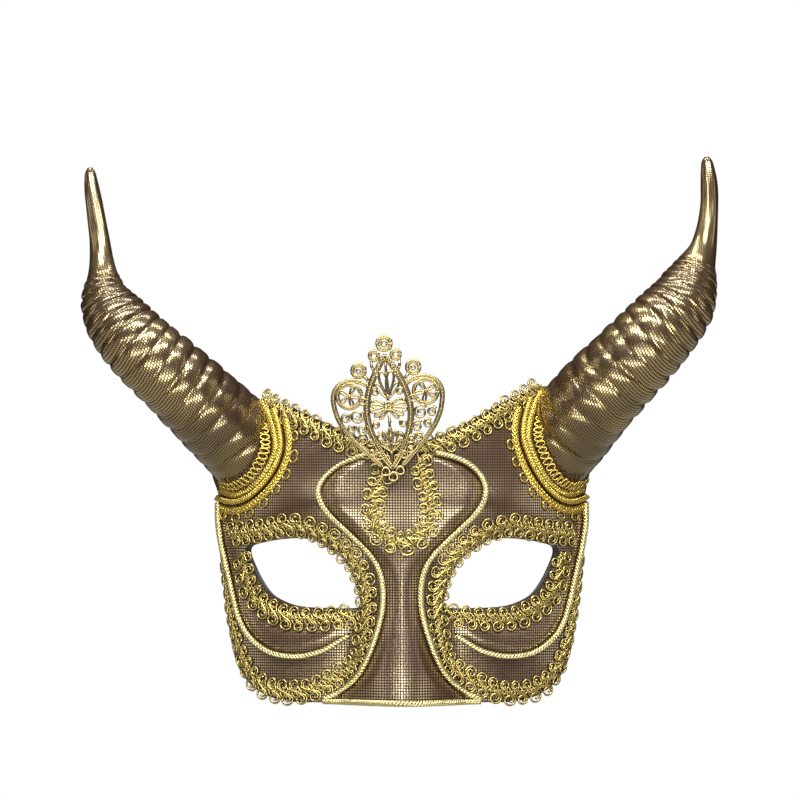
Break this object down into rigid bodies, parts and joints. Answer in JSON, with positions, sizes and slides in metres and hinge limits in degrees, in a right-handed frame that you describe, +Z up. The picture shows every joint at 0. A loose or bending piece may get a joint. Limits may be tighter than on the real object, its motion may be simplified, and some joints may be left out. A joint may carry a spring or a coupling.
{
  "type": "horned masquerade half mask",
  "caption": "Half mask for the upper face in bronze and gold mesh fabric, with two ribbed upturned horns, gold scroll braid and cord trim, and a filigree ornament.",
  "frame": {"origin": "on the inside of the nose bridge, where the mask rests on the wearer's face", "axes": "+X to the viewer's right as the mask is seen from the front, +Y back towards the wearer, +Z up"},
  "size_m": [0.2951, 0.0829, 0.2542],
  "materials": {
    "shell_plastic": "matt moulded",
    "lining_felt": "short black felt",
    "gold_fabric": "brown cloth with gold foil mesh",
    "horn_foam": "rigid foam",
    "ring_gimp": "metallic gold gimp",
    "gold_braid": "metallic olive-gold scroll braid",
    "gold_cord": "twisted metallic gold cord",
    "filigree_metal": "pale gold plated, stamped",
    "anchor_plastic": "matt"
  },
  "bodies": {
    "root": {"mask_shell": "shell_plastic", "face_lining": "lining_felt", "face_fabric": "gold_fabric", "horn_core_left": "horn_foam", "horn_fabric_left": "gold_fabric", "horn_ring_inner_left": "ring_gimp", "horn_ring_cord_left": "ring_gimp", "horn_ring_outer_left": "ring_gimp", "eye_upper_braid_left": "gold_braid", "eye_lower_braid_left": "gold_braid", "cheek_edge_braid_left": "gold_braid", "nose_cord_left": "gold_cord", "cheek_cord_left": "gold_cord", "ribbon_anchor_left": "anchor_plastic", "horn_core_right": "horn_foam", "horn_fabric_right": "gold_fabric", "horn_ring_inner_right": "ring_gimp", "horn_ring_cord_right": "ring_gimp", "horn_ring_outer_right": "ring_gimp", "eye_upper_braid_right": "gold_braid", "eye_lower_braid_right": "gold_braid", "cheek_edge_braid_right": "gold_braid", "nose_cord_right": "gold_cord", "cheek_cord_right": "gold_cord", "ribbon_anchor_right": "anchor_plastic", "top_edge_braid": "gold_braid", "forehead_loop_braid": "gold_braid", "bottom_edge_cord": "gold_cord", "filigree_ornament": "filigree_metal"}
  },
  "joints": []
}
